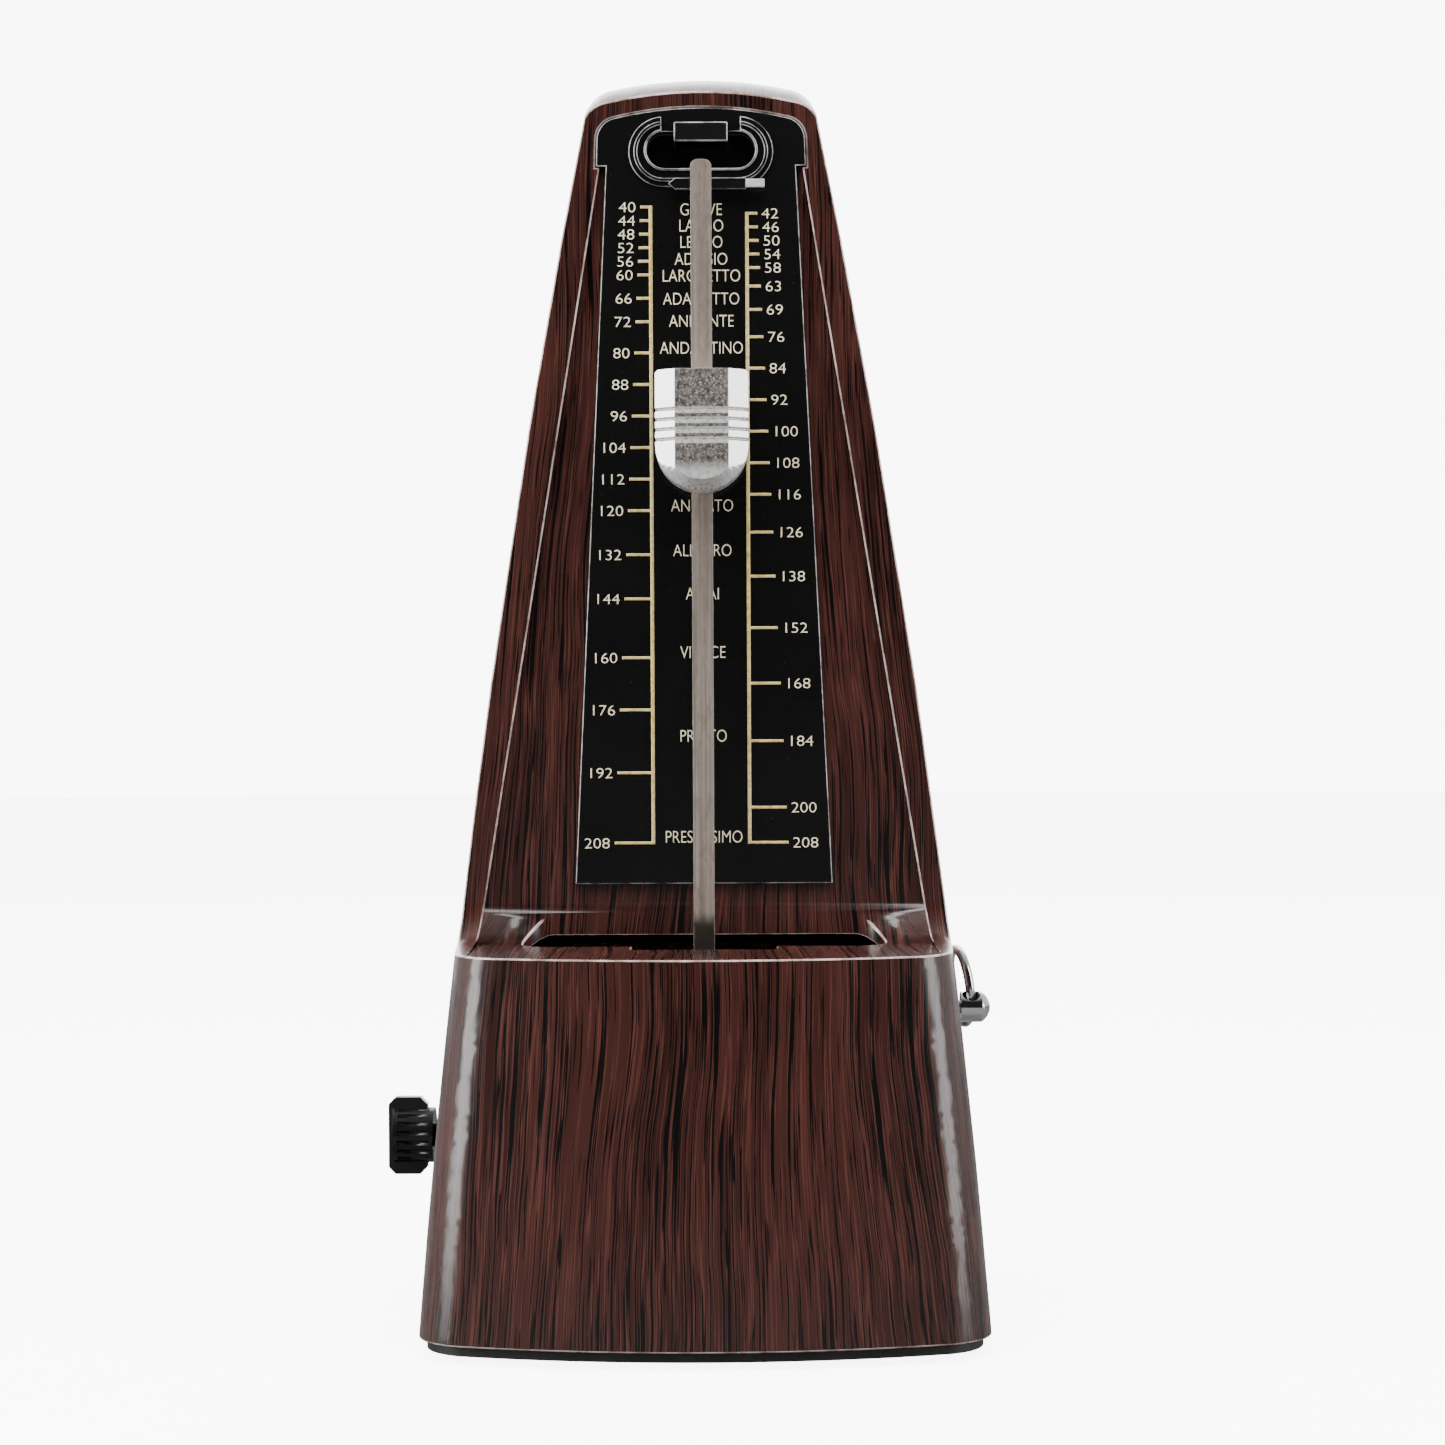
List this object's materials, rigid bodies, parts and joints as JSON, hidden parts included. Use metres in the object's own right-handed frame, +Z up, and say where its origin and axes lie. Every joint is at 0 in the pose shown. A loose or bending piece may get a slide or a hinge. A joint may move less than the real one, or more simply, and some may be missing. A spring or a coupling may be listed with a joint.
{
  "type": "metronome",
  "caption": "Wind-up tower metronome with wood-grain case, black tempo scale, swinging pendulum with sliding weight, side winding key and ring-pull beat selector.",
  "frame": {"origin": "on the floor, under the centre of the case", "axes": "+Z up, the scale and pendulum face -Y, the winding key is at -X and the beat selector at +X"},
  "size_m": [0.1109, 0.101, 0.224],
  "materials": {
    "case_woodgrain": "glossy wood-grain film",
    "black_gloss": "gloss black",
    "black_base": "satin black",
    "scale_black": "gloss black",
    "foot_rubber": "matt rubber",
    "rod_steel": "satin steel",
    "weight_cast": "bright die-cast",
    "chrome": "polished chrome",
    "steel": "bright steel",
    "brass": "rolled brass",
    "bell_steel": "polished",
    "bob_iron": "as cast",
    "spring_steel": "blued",
    "black_metal": "black lacquer"
  },
  "bodies": {
    "root": {"case_shell": "case_woodgrain", "base_plate": "black_base", "rubber_feet": "foot_rubber", "base_screws": "steel", "scale_plate": "scale_black", "cover_catch": "black_gloss", "rod_clip": "black_metal", "rod_clip_tip": "chrome", "key_bush": "black_gloss", "selector_bush": "black_gloss", "left_plate": "brass", "right_plate": "brass", "plate_pillars": "brass", "pillar_screws": "steel", "mounting_brackets": "steel", "bracket_screws": "steel", "front_bridge": "brass", "rear_bridge": "brass", "bridge_screws": "steel", "bell": "bell_steel", "bell_post": "brass", "bell_screw": "steel", "click_screw": "steel", "detent_spring": "spring_steel"},
    "winding": {"winding_arbor": "steel", "ratchet_wheel": "steel", "winding_key": "black_gloss"},
    "barrel": {"great_wheel": "brass", "barrel": "brass", "barrel_cover": "brass", "mainspring": "spring_steel"},
    "second": {"second_pinion": "steel", "second_wheel": "brass"},
    "escape": {"escape_pinion": "steel", "escape_wheel": "brass", "beat_cams": "brass"},
    "click": {"click": "steel", "click_spring": "spring_steel"},
    "selector": {"selector_rod": "steel", "selector_knob": "chrome", "hammer_spring": "spring_steel"},
    "ring": {"pull_ring": "chrome"},
    "hammer": {"hammer_arm": "steel", "hammer_head": "brass"},
    "pendulum": {"pendulum_arbor": "steel", "pendulum_rod": "rod_steel", "rod_collar": "brass", "pendulum_bob": "bob_iron", "front_pallet": "steel", "rear_pallet": "steel"},
    "weight": {"sliding_weight": "weight_cast", "weight_spring": "spring_steel"}
  },
  "joints": [
    {"name": "pendulum_swing", "type": "hinge", "parent": "root", "child": "pendulum", "pos_m": [0, -0.0135, 0.0625], "axis": [0, 1, 0], "range_deg": [-28, 28]},
    {"name": "weight_slide", "type": "slide", "parent": "pendulum", "child": "weight", "axis": [0, 0, 1], "range_m": [-0.0832, 0.0305]},
    {"name": "key_wind", "type": "hinge", "parent": "root", "child": "winding", "pos_m": [-0.05, 0.014, 0.0305], "axis": [1, 0, 0], "continuous": true},
    {"name": "barrel_turn", "type": "hinge", "parent": "root", "child": "barrel", "pos_m": [-0.01, 0.014, 0.0305], "axis": [1, 0, 0], "continuous": true},
    {"name": "second_turn", "type": "hinge", "parent": "root", "child": "second", "pos_m": [0, 0.02587, 0.04709], "axis": [1, 0, 0], "continuous": true},
    {"name": "escape_turn", "type": "hinge", "parent": "root", "child": "escape", "pos_m": [0, 0.012, 0.05131], "axis": [1, 0, 0], "continuous": true},
    {"name": "click_lift", "type": "hinge", "parent": "root", "child": "click", "pos_m": [-0.0263, 0.0045, 0.0396], "axis": [1, 0, 0], "range_deg": [0, 12], "stiffness_Nm_per_rad": 0.001, "springref_deg": -11.46},
    {"name": "selector_pull", "type": "slide", "parent": "root", "child": "selector", "axis": [1, 0, 0], "range_m": [0, 0.008]},
    {"name": "ring_swing", "type": "hinge", "parent": "selector", "child": "ring", "pos_m": [0.0484, 0.002, 0.055], "axis": [0, -0.5, 0.866], "range_deg": [-193, 0]},
    {"name": "hammer_strike", "type": "hinge", "parent": "selector", "child": "hammer", "pos_m": [0.028, 0.002, 0.055], "axis": [1, 0, 0], "range_deg": [-12, 1.2], "stiffness_Nm_per_rad": 0.01}
  ],
  "couplings": [
    {"joint": "second_turn", "follows": "barrel_turn", "ratio": -4.6667},
    {"joint": "escape_turn", "follows": "barrel_turn", "ratio": 22.4}
  ]
}
